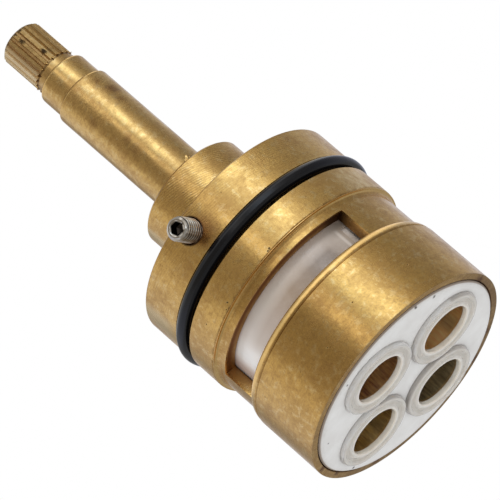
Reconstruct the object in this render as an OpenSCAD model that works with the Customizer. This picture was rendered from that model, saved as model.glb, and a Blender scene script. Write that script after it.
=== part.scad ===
// Four-way diverter cartridge: a splined brass spindle turns a plastic rotor and a
// ceramic disc, which lead the water from two side windows to one of four base ports.
// The origin is the centre of the skirt's rim, and +Z runs along the spindle.

/* [Ports] */
// Diameter of the circle that the four port centres lie on
port_pcd = 20; // [19.6:0.1:21]
// Diameter of each port through the seal, the plate and the brass floor
port_d = 9; // [7:0.5:9.4]
// Diameter of each port through the ceramic discs
disc_port_d = 8.6; // [6:0.2:9.4]

/* [Port seals] */
// Gap between the flanges of neighbouring seals
seal_gap = 0.44; // [0.3:0.02:1.2]
// Diameter of a seal's neck, which sits in the plate round the spigot
neck_seal_d = 12.6; // [12.2:0.1:13]
// Depth of the neck in the plate
neck_seal_h = 2.4; // [1.2:0.1:2.8]
// How far the seal stands proud of the plate
seal_proud = 0.8; // [0.5:0.1:1.6]
// Depth of the dished ring between the seal's two lips
dish_depth = 0.3; // [0.1:0.05:0.4]
// Width of each of the seal's two lips
seal_lip = 0.6; // [0.4:0.05:0.7]

/* [Seal plate] */
// Thickness of the white plate
plate_t = 3.4; // [3:0.1:5]
// How far the plate stands proud of the skirt's rim
plate_proud = 0.4; // [0:0.1:0.8]
// Radial gap between the plate and the skirt
plate_gap = 0.1; // [0.05:0.05:0.8]
// Chamfer round the plate
plate_edge = 0.4; // [0.2:0.05:0.6]

/* [Cage] */
// Diameter of the skirt and the head, which slide into the valve's bore
body_d = 40; // [39.6:0.1:44]
// Height of the skirt, which is also the sill of the windows
skirt_h = 14; // [13:0.1:15]
// Inside diameter of the recess that holds the plate
recess_d = 37.4; // [36:0.1:38]
// Thickness of the brass floor that the ports go through
floor_t = 4; // [3:0.1:4.6]
// Outer diameter of the brass spigot round each port, which the seal and the plate sit on
spigot_d = 10.8; // [10.2:0.1:11]
// How far each spigot stops short of the plate's face
spigot_drop = 0.1; // [0:0.05:0.6]
// Outside diameter of the cage at its windows
cage_d = 38.3; // [37.8:0.1:39]
// Bore of the cage round the discs and the rotor
cage_bore_d = 34.2; // [33.4:0.1:34.6]
// Angle that each window spans
window_angle = 113; // [60:1:124]
// Height of the windows
window_h = 6.4; // [5:0.1:7]
// Height of the collar between the windows and the bonnet
collar_h = 2; // [1.2:0.1:4]
// Fillet between the cage and the shoulder that meets the bonnet
shoulder_fillet = 0.8; // [0.3:0.1:1]
// Wall of the cage's upper sleeve, which is held inside the bonnet
sleeve_wall = 1.5; // [1:0.05:1.7]
// Length of that sleeve
sleeve_h = 4.2; // [3:0.1:5]
// Turn of the windows and the stop screw away from the port in front
head_turn = 2.5; // [-8:0.5:8]

/* [Discs] */
// Thickness of the rubber gasket under the fixed disc
gasket_t = 1; // [0.6:0.1:1.6]
// Thickness of the fixed ceramic disc
fixed_t = 3; // [2.4:0.1:3.6]
// Thickness of the turning ceramic disc
moving_t = 3; // [2.4:0.1:3.4]
// Width of the two keys that stop the fixed disc turning
key_w = 3.2; // [2:0.1:4]
// How far the keys reach in from the cage's bore
key_reach = 1.7; // [1:0.1:2]
// Width of the two dogs that turn the moving disc
dog_w = 3.4; // [2:0.1:4]
// How far the dogs reach down into the moving disc
dog_h = 2.2; // [1.2:0.1:2.3]

/* [Rotor] */
// Radial gap between the rotor and the cage
rotor_gap = 0.2; // [0.15:0.01:0.35]
// Height of the rotor's drum
drum_h = 7; // [6:0.1:8]
// Wall of the rotor's drum
drum_wall = 2; // [1.4:0.1:2.6]
// Thickness of the drum's roof
roof_t = 2.1; // [1.2:0.1:3]
// Angle of the opening that lets water into the drum
inlet_angle = 130; // [80:2:140]
// Diameter of the hub that the spindle drives
hub_d = 19; // [16:0.5:20]
// Angle that the pocket behind the wall of the drum's closed side spans
pocket_angle = 73; // [40:1:78]
// Turn of the pocket away from the middle of the closed side
pocket_turn = 9.5; // [0:0.5:12]
// Height of the pocket
pocket_h = 4.1; // [2:0.1:4.6]
// Radius at which the pocket ends towards the hub
pocket_in_r = 8; // [6:0.5:12]
// Depth of the relief at each end of the closed side
relief_depth = 0.4; // [0.2:0.05:0.8]
// Angle that each relief spans
relief_w = 14; // [6:1:20]
// Angle from the middle of the closed side to the start of each relief
relief_angle = 55; // [50:0.5:60]

/* [Bonnet] */
// Height of the head
head_h = 15.4; // [15.2:0.1:20]
// Diameter of the boss that stands on the head
boss_d = 20; // [18:0.2:24]
// Height of the boss
boss_h = 10.6; // [10:0.1:16]
// Width of the head's seal groove
groove_w = 3.1; // [2.8:0.05:3.6]
// Brass left between the sleeve's socket and the seal groove
groove_web = 0.8; // [0.6:0.1:1]
// Section of the head's O-ring
ring_cs = 2.2; // [1.8:0.05:2.6]
// How far the O-ring stands proud of the head
ring_proud = 0.62; // [0.3:0.02:0.8]

/* [Stop] */
// Angle that the spindle turns between its two stops
travel = 270; // [220:10:290]
// Position of the lower stop, counted from the rest position
lower_stop = -90; // [-110:10:0]
// Diameter of the stop screw
screw_d = 4; // [3:0.1:4.4]
// Distance of the screw's axis below the top of the head
screw_drop = 2.7; // [2.6:0.1:3]
// How far the screw stands out of the head
screw_out = 4.3; // [0:0.1:6]
// Width across the flats of its hex socket
socket_af = 2; // [1.5:0.1:2.5]
// Depth of that socket
socket_depth = 2.4; // [1.5:0.1:4]

/* [Spindle] */
// Diameter of the stem
stem_d = 10.5; // [10.4:0.1:11.2]
// Length of the stem above the boss
stem_len = 26; // [10:0.5:60]
// Diameter of the neck above the stem
neck_d = 9.5; // [8.8:0.1:9.6]
// Length of that neck
neck_len = 5; // [2:0.5:10]
// Outer diameter of the spline
spline_d = 8; // [7:0.1:8.2]
// Number of teeth on the spline
spline_teeth = 20; // [12:1:32]
// Depth of the spline's teeth
tooth_depth = 0.5; // [0.3:0.05:0.6]
// Length of the toothed part
spline_len = 8.2; // [4:0.1:20]
// Length of the plain relief below the teeth
relief_len = 1.9; // [1:0.1:5]
// Diameter of the waist that turns past the stop screw's inner end
waist_d = 8; // [7:0.1:8.8]
// Diameter of the flange that takes the thrust
flange_d = 21.6; // [21:0.1:23]
// Thickness of that flange
flange_t = 2.5; // [1.6:0.1:3]
// Thickness of the thrust washer
washer_t = 1; // [0.6:0.1:1.4]
// Width of the washer's ring, inside which the stop lug turns
washer_w = 2.1; // [1.6:0.1:2.6]
// Width of the driving tang
tang_w = 12; // [8:0.2:13]
// Thickness of the driving tang
tang_t = 6; // [4:0.1:8]
// Length of the driving tang
tang_h = 6.5; // [4:0.1:7]
// Section of the two O-rings on the stem
stem_ring_cs = 1.8; // [1.5:0.05:2]
// Distance of the upper O-ring below the top of the boss
stem_ring_drop = 2.8; // [2.4:0.1:3.6]
// Distance between the two O-rings
stem_ring_pitch = 4.2; // [3:0.1:4.4]

/* [Fits] */
// Radial gap between the stem and the bonnet
stem_gap = 0.08; // [0.02:0.01:0.1]
// Radial gap between the sleeve and the bonnet
sleeve_gap = 0.05; // [0.02:0.01:0.1]
// Radial gap between the stop screw and its hole
screw_gap = 0.05; // [0.02:0.01:0.1]
// Gap on each side of a key, a dog or the tang
key_gap = 0.1; // [0.05:0.01:0.2]
// Gap round a piece that turns inside another
turn_gap = 0.3; // [0.2:0.01:0.4]

/* [Hidden] */
$fn = 96;

edge = 0.3;              // chamfer on a turned edge
seam = 0.1;              // chamfer on both sides of the seam between cage and bonnet
least_wall = 0.8;        // wall that the skirt keeps round its recess
eps = 0.05;              // overrun of a cut past the face that it opens
brass = [0.80, 0.65, 0.36];
front = -90 + head_turn; // direction of the front window and the stop screw
key_at = [45, 225];      // directions of the keys, half-way between ports
dog_at = [0, 180];       // directions of the dogs, at the ends of the drum's closed side

// Heights, from the seals up to the tip of the spindle
plate_bot = -plate_proud;
seal_bot = plate_bot - seal_proud;
spigot_bot = plate_bot + spigot_drop;
floor_bot = plate_bot + plate_t;
floor_top = floor_bot + floor_t;
gasket_top = floor_top + gasket_t;
fixed_top = gasket_top + fixed_t;
moving_top = fixed_top + moving_t;
drum_top = moving_top + drum_h;
window_top = skirt_h + window_h;
bonnet_bot = window_top + collar_h;
sleeve_top = bonnet_bot + sleeve_h;
socket_top = sleeve_top + 0.2;
groove_bot = socket_top + groove_web;
groove_top = groove_bot + groove_w;
head_top = bonnet_bot + head_h;
boss_top = head_top + boss_h;
screw_z = head_top - screw_drop;
chamber_bot = screw_z - screw_d / 2 - turn_gap;
chamber_top = screw_z + screw_d / 2 + turn_gap;
flange_top = chamber_bot - washer_t;
flange_bot = flange_top - flange_t;
stem_top = boss_top + stem_len;
neck_top = stem_top + neck_len;
relief_top = neck_top + relief_len;
spline_top = relief_top + spline_len;

// Radii
body_r = body_d / 2;
skirt_r = max(body_r, recess_d / 2 + least_wall);
cage_r = cage_d / 2;
shoulder_r = max(body_r - 0.05, cage_r + seam);
fillet = min(shoulder_fillet, shoulder_r - cage_r - 0.02);
bore_r = cage_bore_d / 2;
sleeve_r = bore_r + sleeve_wall;
rotor_r = bore_r - rotor_gap;
disc_r = bore_r - key_gap;
moving_r = bore_r - 3 * turn_gap;
stem_bore_r = stem_d / 2 + stem_gap;
seal_r = port_pcd / 2 * sqrt(2) / 2 - seal_gap / 2;
cavity_r = flange_d / 2 + turn_gap;
washer_in_r = flange_d / 2 - washer_w;
chamber_r = washer_in_r - key_gap;
lug_r = chamber_r - turn_gap;
screw_tip = waist_d / 2 + turn_gap;
ring_mid_r = body_r + ring_proud - ring_cs / 2;
groove_floor_r = ring_mid_r - ring_cs / 2 - 0.02;
stem_ring_r = stem_bore_r - 0.03 - stem_ring_cs / 2;
stem_groove_w = stem_ring_cs + 0.6;

// Points of a rounded outer corner, for a profile that climbs past it
function corner(r, z, c) = [for (a = [0:30:90])
    [r - c + c * cos(a), z - c + c * sin(a)]];

// A ring or disc with small chamfers on its outer edges
module disc(r, z0, z1, c = edge) {
    rotate_extrude()
        polygon([[0, z0], [r - c, z0], [r, z0 + c], [r, z1 - c], [r - c, z1], [0, z1]]);
}

// An O-ring: mean radius, section radius and height of its centre
module o_ring(mid_r, cs, z) {
    rotate_extrude() translate([mid_r, z]) circle(d = cs, $fn = 48);
}

// Whatever is drawn here stands at each of the four ports
module at_ports() {
    for (i = [0:3]) rotate(90 * i) translate([port_pcd / 2, 0, 0]) children();
}

// A wedge that spans an angle either side of +X
module wedge(angle, r, z0, z1) {
    steps = 8;
    reach = r / cos(angle / steps / 2);
    translate([0, 0, z0]) linear_extrude(z1 - z0)
        polygon(concat([[0, 0]],
            [for (i = [0:steps]) let (a = -angle / 2 + angle * i / steps)
                reach * [cos(a), sin(a)]]));
}

// Lower housing: skirt, floor with a spigot round each port, cage with two windows, sleeve
module cage() {
    lip = 1.3;      // height of the rounded lip at the top of the skirt
    nick = 0.25;    // depth of the tool line under it
    key_h = gasket_t + fixed_t - 0.4;
    shoulder_bot = bonnet_bot - 2 * seam;
    color(brass) {
        difference() {
            union() {
                rotate(key_at[0]) rotate_extrude() polygon(concat(
                    [[0, floor_bot], [recess_d / 2, floor_bot], [recess_d / 2, edge],
                        [recess_d / 2 + 0.15, 0], [skirt_r, 0],
                        [skirt_r, skirt_h - lip - nick], [skirt_r - nick, skirt_h - lip],
                        [skirt_r - 0.1, skirt_h - lip + nick],
                        [skirt_r - 0.2, skirt_h - 0.5], [skirt_r - 0.45, skirt_h],
                        [cage_r, skirt_h]],
                    [for (a = [180:-22.5:90])
                        [cage_r + fillet + fillet * cos(a),
                            shoulder_bot - fillet + fillet * sin(a)]],
                    [[shoulder_r, shoulder_bot], [shoulder_r, bonnet_bot - seam],
                        [shoulder_r - seam, bonnet_bot],
                        [sleeve_r, bonnet_bot], [sleeve_r, sleeve_top - edge],
                        [sleeve_r - edge, sleeve_top], [bore_r, sleeve_top],
                        [bore_r, floor_top], [0, floor_top]]));
                at_ports() translate([0, 0, spigot_bot])
                    cylinder(d = spigot_d, h = floor_bot - spigot_bot + edge);
            }
            for (side = [0, 180]) rotate(front + side)
                intersection() {
                    wedge(window_angle, skirt_r + 1, skirt_h, window_top);
                    difference() {
                        cylinder(r = skirt_r + 1, h = window_top + 1);
                        cylinder(r = bore_r / 2, h = window_top + 1);
                    }
                }
            at_ports() translate([0, 0, spigot_bot - eps])
                cylinder(d = port_d, h = floor_top - spigot_bot + 2 * eps);
        }
        for (a = key_at) rotate(a) intersection() {
            translate([bore_r - key_reach, -key_w / 2, floor_top])
                cube([key_reach + 0.4, key_w, key_h]);
            cylinder(r = bore_r + 0.2, h = fixed_top);
        }
    }
}

// White plate in the skirt, with a hole for each spigot and a pocket for each seal
module seal_plate() {
    color([0.90, 0.90, 0.89]) difference() {
        disc(recess_d / 2 - plate_gap, plate_bot, floor_bot, plate_edge);
        at_ports() translate([0, 0, plate_bot - eps]) {
            cylinder(d = neck_seal_d + 2 * key_gap, h = neck_seal_h + eps);
            cylinder(d = spigot_d + 2 * key_gap, h = plate_t + 2 * eps);
        }
    }
}

// Silicone seal: a neck round the spigot and a dished flange that covers the spigot's end
module port_seal(i) {
    flange_r = seal_r;
    hole_r = port_d / 2;
    neck_in_r = spigot_d / 2 + key_gap;
    round_r = 0.3;
    color([0.82, 0.83, 0.80]) rotate(90 * i) translate([port_pcd / 2, 0, 0])
        rotate_extrude() polygon(concat(
            [[hole_r, spigot_bot], [hole_r, seal_bot + 0.15],
                [hole_r + 0.15, seal_bot], [hole_r + seal_lip, seal_bot],
                [hole_r + seal_lip + dish_depth, seal_bot + dish_depth],
                [flange_r - seal_lip - dish_depth, seal_bot + dish_depth],
                [flange_r - seal_lip, seal_bot]],
            [for (a = [-90:22.5:0])
                [flange_r - round_r + round_r * cos(a), seal_bot + round_r + round_r * sin(a)]],
            [[flange_r, plate_bot], [neck_seal_d / 2, plate_bot],
                [neck_seal_d / 2, plate_bot + neck_seal_h],
                [neck_in_r, plate_bot + neck_seal_h], [neck_in_r, spigot_bot]]));
}

// Notches in the rim of a disc, at the given angles
module rim_notches(angles, r, reach, w, z0, z1) {
    for (a = angles) rotate(a)
        translate([r - reach, -w / 2, z0]) cube([reach + 2, w, z1 - z0]);
}

// Rubber gasket that presses the fixed disc up against the moving one
module disc_gasket() {
    color([0.10, 0.10, 0.11]) difference() {
        translate([0, 0, floor_top]) cylinder(r = disc_r, h = gasket_t);
        at_ports() translate([0, 0, floor_top - eps])
            cylinder(d = port_d + 2 * key_gap, h = gasket_t + 2 * eps);
        rim_notches(key_at, bore_r, key_reach + key_gap, key_w + 2 * key_gap,
            floor_top - eps, gasket_top + eps);
    }
}

// Fixed ceramic disc, keyed to the cage, with one hole for each port
module fixed_disc() {
    color([0.93, 0.92, 0.88]) difference() {
        disc(disc_r, gasket_top, fixed_top, 0.2);
        at_ports() translate([0, 0, gasket_top - eps])
            cylinder(d = disc_port_d, h = fixed_t + 2 * eps);
        rim_notches(key_at, bore_r, key_reach + key_gap, key_w + 2 * key_gap,
            gasket_top - eps, fixed_top + eps);
    }
}

// Turning ceramic disc: its one hole stands over the port at the back
module moving_disc() {
    color([0.96, 0.95, 0.92]) difference() {
        disc(moving_r, fixed_top, moving_top, 0.2);
        rotate(90) translate([port_pcd / 2, 0, fixed_top - eps])
            cylinder(d = disc_port_d, h = moving_t + 2 * eps);
        rim_notches(dog_at, moving_r, key_reach + key_gap, dog_w + 2 * key_gap,
            fixed_top - eps, moving_top + eps);
    }
}

// Part of a ring cut up into the drum from below: angle, two radii and the cut's top
module drum_cut(angle, in_r, out_r, top) {
    intersection() {
        wedge(angle, out_r + 1, moving_top - eps, top);
        difference() {
            cylinder(r = out_r, h = top + 1);
            translate([0, 0, -1]) cylinder(r = in_r, h = top + 3);
        }
    }
}

// Plastic rotor: a drum that is open at its back, cored out in front, with a driven hub
module rotor() {
    roof_bot = drum_top - roof_t;
    inside_r = rotor_r - drum_wall;
    core_r = 3.5;
    color([0.88, 0.87, 0.85]) {
        difference() {
            union() {
                disc(rotor_r, moving_top, drum_top, 0.4);
                translate([0, 0, drum_top - eps])
                    cylinder(d = hub_d, h = flange_bot - drum_top + eps);
            }
            rotate(90) {
                drum_cut(inlet_angle + 20, core_r, inside_r, roof_bot);
                drum_cut(inlet_angle, inside_r - 1, rotor_r + 1, roof_bot);
            }
            for (side = [-1, 1]) rotate(side * (relief_angle + relief_w / 2) - 90)
                drum_cut(relief_w, rotor_r - relief_depth, rotor_r + 1, roof_bot);
            rotate(pocket_turn - 90)
                drum_cut(pocket_angle, pocket_in_r, inside_r, moving_top + pocket_h);
            translate([-tang_w / 2 - key_gap, -tang_t / 2 - key_gap, flange_bot - tang_h - 0.5])
                cube([tang_w + 2 * key_gap, tang_t + 2 * key_gap, tang_h + 0.5 + eps]);
        }
        intersection() {
            rim_notches(dog_at, moving_r, key_reach, dog_w, moving_top - dog_h,
                moving_top + 0.5);
            cylinder(r = moving_r - 0.2, h = drum_top);
        }
    }
}

// Bonnet: head with its seal groove, boss, stem bore, stop chamber and sleeve socket
module bonnet() {
    color(brass) difference() {
        rotate_extrude() polygon([
            [sleeve_r + sleeve_gap, bonnet_bot], [body_r - seam, bonnet_bot],
            [body_r, bonnet_bot + seam], [body_r, groove_bot],
            [groove_floor_r, groove_bot], [groove_floor_r, groove_top],
            [body_r, groove_top], [body_r, head_top - 0.15], [body_r - 0.15, head_top],
            [boss_d / 2, head_top], [boss_d / 2, boss_top - edge],
            [boss_d / 2 - edge, boss_top], [stem_bore_r + edge, boss_top],
            [stem_bore_r, boss_top - edge], [stem_bore_r, chamber_top],
            [chamber_r, chamber_top], [chamber_r, chamber_bot],
            [cavity_r, chamber_bot], [cavity_r, socket_top],
            [sleeve_r + sleeve_gap, socket_top]]);
        rotate(front) translate([0, 0, screw_z]) rotate([0, 90, 0]) {
            translate([0, 0, stem_d / 2])
                cylinder(d = screw_d + 2 * screw_gap, h = body_r);
            translate([0, 0, body_r - 0.5])
                cylinder(d1 = screw_d, d2 = screw_d + 0.9, h = 0.75);
        }
    }
}

module bonnet_oring() {
    color([0.07, 0.07, 0.08]) o_ring(ring_mid_r, ring_cs, groove_top - ring_cs / 2 - 0.02);
}

// Low-friction washer between the spindle's flange and the bonnet
module thrust_washer() {
    color([0.95, 0.94, 0.90]) difference() {
        translate([0, 0, flange_top]) cylinder(d = flange_d, h = washer_t);
        translate([0, 0, flange_top - eps]) cylinder(r = washer_in_r, h = washer_t + 2 * eps);
    }
}

// Headless screw through the side of the head, whose inner end stops the spindle
module stop_screw() {
    tip = 0.3;      // chamfer at the inner end
    c = 0.5;        // chamfer at the outer end
    outer = body_r + screw_out;
    r = screw_d / 2;
    color("silver") rotate(front) translate([0, 0, screw_z]) rotate([0, 90, 0])
        difference() {
            rotate_extrude() polygon([[0, screw_tip], [r - tip, screw_tip],
                [r, screw_tip + tip], [r, outer - c], [r - c, outer], [0, outer]]);
            translate([0, 0, outer - socket_depth])
                cylinder(d = socket_af / cos(30), h = socket_depth + eps, $fn = 6);
        }
}

// Outline of the spline: straight-sided teeth with flat tops
function spline_points(tip_r, root_r, n) = [for (i = [0:n - 1], k = [0:3])
    let (pitch = 360 / n, a = pitch * (i + [-0.34, -0.2, 0.2, 0.34][k]),
         r = (k == 0 || k == 3) ? root_r : tip_r)
    r * [cos(a), sin(a)]];

// Spindle: spline, relief, neck, stem with two seal grooves, flange, stop lug and tang
module spindle() {
    tip = 0.5;      // chamfer at the tip and under the stem
    r = stem_d / 2;
    neck_r = neck_d / 2;
    relief_r = spline_d / 2 - 0.2;
    waist_top = chamber_top + turn_gap;
    groove_r = stem_ring_r - stem_ring_cs / 2 - 0.02;
    groove_mid = [for (i = [0, 1]) boss_top - stem_ring_drop - i * stem_ring_pitch];
    color(brass) {
        difference() {
            rotate_extrude() polygon(concat(
                [[0, flange_bot], [flange_d / 2 - edge, flange_bot],
                    [flange_d / 2, flange_bot + edge], [flange_d / 2, flange_top],
                    [waist_d / 2, flange_top], [waist_d / 2, waist_top],
                    [r - tip, waist_top], [r, waist_top + tip]],
                corner(r, stem_top, 0.8 * (r - neck_r)), [[neck_r, stem_top]],
                corner(neck_r, neck_top, 0.5 * (neck_r - relief_r)),
                [[relief_r, neck_top], [relief_r, relief_top], [0, relief_top]]));
            for (z = groove_mid) translate([0, 0, z - stem_groove_w / 2])
                difference() {
                    cylinder(r = r + 1, h = stem_groove_w);
                    translate([0, 0, -eps]) cylinder(r = groove_r, h = stem_groove_w + 2 * eps);
                }
        }
        intersection() {
            translate([0, 0, relief_top - eps]) linear_extrude(spline_len + eps)
                polygon(spline_points(spline_d / 2, spline_d / 2 - tooth_depth, spline_teeth));
            rotate_extrude() polygon([[0, relief_top - 1], [spline_d / 2 + 1, relief_top - 1],
                [spline_d / 2 + 1, spline_top - 1 - tip], [spline_d / 2 - tip, spline_top],
                [0, spline_top]]);
        }
        stop_lug();
        translate([-tang_w / 2, -tang_t / 2, flange_bot - tang_h])
            cube([tang_w, tang_t, tang_h + eps]);
    }
}

// Lug on the flange: its two sides meet the stop screw's flanks at the ends of the travel
module stop_lug() {
    flank = screw_d / 2 + key_gap;
    first = front - lower_stop;
    last = front - (lower_stop + travel);
    size = 3 * chamber_r;
    intersection() {
        translate([0, 0, flange_top - eps])
            cylinder(r = lug_r, h = chamber_top - turn_gap - flange_top + eps);
        rotate(first) translate([-size, flank, flange_top - 1]) cube([2 * size, size, 2 * size]);
        rotate(last) translate([-size, -flank - size, flange_top - 1])
            cube([2 * size, size, 2 * size]);
    }
}

module spindle_oring(i) {
    color([0.07, 0.07, 0.08])
        o_ring(stem_ring_r, stem_ring_cs, boss_top - stem_ring_drop - i * stem_ring_pitch);
}

cage();
seal_plate();
port_seal(0);  // port_seal_1
port_seal(1);  // port_seal_2
port_seal(2);  // port_seal_3
port_seal(3);  // port_seal_4
disc_gasket();
fixed_disc();
moving_disc();
rotor();
bonnet();
bonnet_oring();
thrust_washer();
stop_screw();
spindle();
spindle_oring(1);  // spindle_oring_lower
spindle_oring(0);  // spindle_oring_upper
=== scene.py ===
# Looks for the diverter cartridge. The frame is in metres: z = 0 is the rim of the
# skirt, +Z runs along the spindle to its splined tip, and the stop screw points to -Y.
import math
import random

import bpy
import bmesh
from mathutils import Matrix, Vector


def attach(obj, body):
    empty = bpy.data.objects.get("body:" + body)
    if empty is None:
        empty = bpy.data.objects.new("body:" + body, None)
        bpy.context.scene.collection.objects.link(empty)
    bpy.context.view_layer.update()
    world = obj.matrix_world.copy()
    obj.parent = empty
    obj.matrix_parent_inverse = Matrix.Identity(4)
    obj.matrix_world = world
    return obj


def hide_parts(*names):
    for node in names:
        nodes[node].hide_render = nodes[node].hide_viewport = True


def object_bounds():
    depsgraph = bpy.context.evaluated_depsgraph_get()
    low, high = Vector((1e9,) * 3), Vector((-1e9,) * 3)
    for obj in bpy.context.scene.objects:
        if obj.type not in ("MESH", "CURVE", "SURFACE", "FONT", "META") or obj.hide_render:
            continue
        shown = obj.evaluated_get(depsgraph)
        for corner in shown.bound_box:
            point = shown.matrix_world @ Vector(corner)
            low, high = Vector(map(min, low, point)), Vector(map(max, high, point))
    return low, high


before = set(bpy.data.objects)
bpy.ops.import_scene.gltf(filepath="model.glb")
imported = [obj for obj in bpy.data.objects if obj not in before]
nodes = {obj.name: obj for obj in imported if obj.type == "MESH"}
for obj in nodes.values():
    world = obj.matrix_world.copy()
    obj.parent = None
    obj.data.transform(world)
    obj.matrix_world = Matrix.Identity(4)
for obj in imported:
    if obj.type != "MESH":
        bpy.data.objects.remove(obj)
cad_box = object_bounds()

MM = 0.001
FULL_TURN = 2.0 * math.pi

# Places that the looks and the new pieces share with the source, in millimetres, and the
# direction of the stop screw
PORT_CIRCLE_R = 10.0
PORT_BORE_R = 4.5
SPIGOT_R = 5.4
SEAL_R = 6.85
RELIEF_R = 16.5
ROTOR_R = 16.9
CAGE_BORE_R = 17.1
PLATE_R = 18.6
RECESS_R = 18.7
CAGE_R = 19.15
BODY_R = 20.0
BOSS_R = 10.0
STEM_R = 5.25
SPLINE_R = 4.0
PLATE_BOT = -0.4
FLOOR_TOP = 7.0
SKIRT_TOP = 14.0
POCKET_TOP = 18.1
WINDOW_TOP = 20.4
DRUM_TOP = 21.0
BONNET_BOT = 22.4
GROOVE_BOT = 27.6
GROOVE_TOP = 30.7
HEAD_TOP = 37.8
BOSS_TOP = 48.4
STEM_TOP = 74.4
NECK_TOP = 79.4
RELIEF_TOP = 81.3
SPLINE_TOP = 89.5
SCREW_R = 2.0
SCREW_TURN = math.radians(-87.5)
SCREW_OUT = Vector((math.cos(SCREW_TURN), math.sin(SCREW_TURN), 0.0))
SCREW_Z = 35.1
SCREW_FROM = 4.3
SCREW_TO = 24.3

# Places on the new pieces that the looks share: the foot of the lip, and the mouth of the
# screw's socket
LIP_FOOT = 12.96
MOUTH_R = 1.30
MOUTH_DEPTH = 0.14
# Distances from the middle between which the looks tell one port from the next
APART_FROM = 4.2
APART_TO = 4.6


# Node helpers

class Graph:
    """The node tree of a material or world, with short calls for the nodes it needs."""

    def __init__(self, owner, output):
        owner.use_nodes = True
        self.owner = owner
        self.tree = owner.node_tree
        self.tree.nodes.clear()
        self.out = self.add(output)

    def add(self, kind, **settings):
        node = self.tree.nodes.new(kind)
        for key, value in settings.items():
            setattr(node, key, value)
        return node

    def link(self, source, target):
        self.tree.links.new(source, target)

    def feed(self, socket, value):
        if isinstance(value, bpy.types.NodeSocket):
            self.link(value, socket)
        else:
            socket.default_value = value

    def math(self, operation, a, b=0.0):
        node = self.add("ShaderNodeMath", operation=operation)
        self.feed(node.inputs[0], a)
        self.feed(node.inputs[1], b)
        return node.outputs[0]

    def times(self, *values):
        result = values[0]
        for value in values[1:]:
            result = self.math("MULTIPLY", result, value)
        return result

    def length(self, a, b):
        return self.math("SQRT", self.math("ADD", self.times(a, a), self.times(b, b)))

    def noise(self, vector, scale, detail=3.0, roughness=0.55, distortion=0.0):
        node = self.add("ShaderNodeTexNoise")
        self.link(vector, node.inputs["Vector"])
        node.inputs["Scale"].default_value = scale
        node.inputs["Detail"].default_value = detail
        node.inputs["Roughness"].default_value = roughness
        node.inputs["Distortion"].default_value = distortion
        return node.outputs["Fac"]

    def remap(self, value, low, high, to_low=0.0, to_high=1.0, blend="LINEAR"):
        """Rises from to_low to to_high while the value goes from low to high."""
        node = self.add("ShaderNodeMapRange", clamp=True, interpolation_type=blend)
        self.feed(node.inputs["Value"], value)
        node.inputs["From Min"].default_value = low
        node.inputs["From Max"].default_value = high
        node.inputs["To Min"].default_value = to_low
        node.inputs["To Max"].default_value = to_high
        return node.outputs["Result"]

    def fall(self, value, low, high):
        """One below low, nothing above high."""
        return self.remap(value, low, high, 1.0, 0.0)

    def band(self, value, low, high, soft):
        """One between low and high, and nothing outside, with soft sides."""
        rise = self.remap(value, low - soft / 2, low + soft / 2)
        return self.times(rise, self.fall(value, high - soft / 2, high + soft / 2))

    def mix(self, factor, a, b):
        """From a to b. A plain number stands for a grey."""
        node = self.add("ShaderNodeMix", data_type="RGBA")
        self.feed(node.inputs[0], factor)
        for socket, value in ((node.inputs[6], a), (node.inputs[7], b)):
            if isinstance(value, float):
                value = (value, value, value)
            if isinstance(value, tuple):
                value = (*value, 1.0)
            self.feed(socket, value)
        return node.outputs[2]

    def ramp(self, value, stops):
        """Colours along a value from 0 to 1, given as (place, colour)."""
        node = self.add("ShaderNodeValToRGB")
        self.link(value, node.inputs[0])
        elements = node.color_ramp.elements
        elements.remove(elements[-1])
        for index, (at, colour) in enumerate(stops):
            element = elements[0] if index == 0 else elements.new(at)
            element.position = at
            element.color = (*colour, 1.0)
        return node.outputs[0]

    def bump(self, height, distance, strength=1.0, normal=None):
        """Bumps of a height in millimetres. A strength below zero turns them into dents."""
        node = self.add("ShaderNodeBump", invert=strength < 0)
        self.link(height, node.inputs["Height"])
        node.inputs["Distance"].default_value = distance * MM
        node.inputs["Strength"].default_value = abs(strength)
        if normal is not None:
            self.link(normal, node.inputs["Normal"])
        return node.outputs["Normal"]

    def place(self, shift=0.0):
        """Object coordinates in millimetres, moved along by a shift for a new pattern."""
        node = self.add("ShaderNodeMapping")
        self.link(self.add("ShaderNodeTexCoord").outputs["Object"], node.inputs["Vector"])
        node.inputs["Scale"].default_value = (1.0 / MM, 1.0 / MM, 1.0 / MM)
        node.inputs["Location"].default_value = (shift, shift * 0.7, -shift)
        return node.outputs[0]

    def join(self, x, y, z):
        node = self.add("ShaderNodeCombineXYZ")
        for socket, value in zip(node.inputs, (x, y, z)):
            self.feed(socket, value)
        return node.outputs[0]

    def vector(self, operation, a, b, output="Value"):
        node = self.add("ShaderNodeVectorMath", operation=operation)
        self.feed(node.inputs[0], a)
        self.feed(node.inputs[1], b)
        return node.outputs[output]

    def spot(self, place, centre, radius, soft, wobble, amount):
        """A soft-edged spot round a point. The wobble makes its edge uneven."""
        distance = self.vector("DISTANCE", place, centre)
        uneven = self.times(self.math("SUBTRACT", wobble, 0.5), amount)
        return self.fall(self.math("ADD", distance, uneven), radius, radius + soft)

    def surface(self, **inputs):
        """Joins a principled shader with these inputs to the output, for the material."""
        shader = self.add("ShaderNodeBsdfPrincipled")
        for key, value in inputs.items():
            self.feed(shader.inputs[key.replace("_", " ")], value)
        self.link(shader.outputs[0], self.out.inputs["Surface"])
        return self.owner


def material_graph(name):
    return Graph(bpy.data.materials.new(name), "ShaderNodeOutputMaterial")


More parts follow.
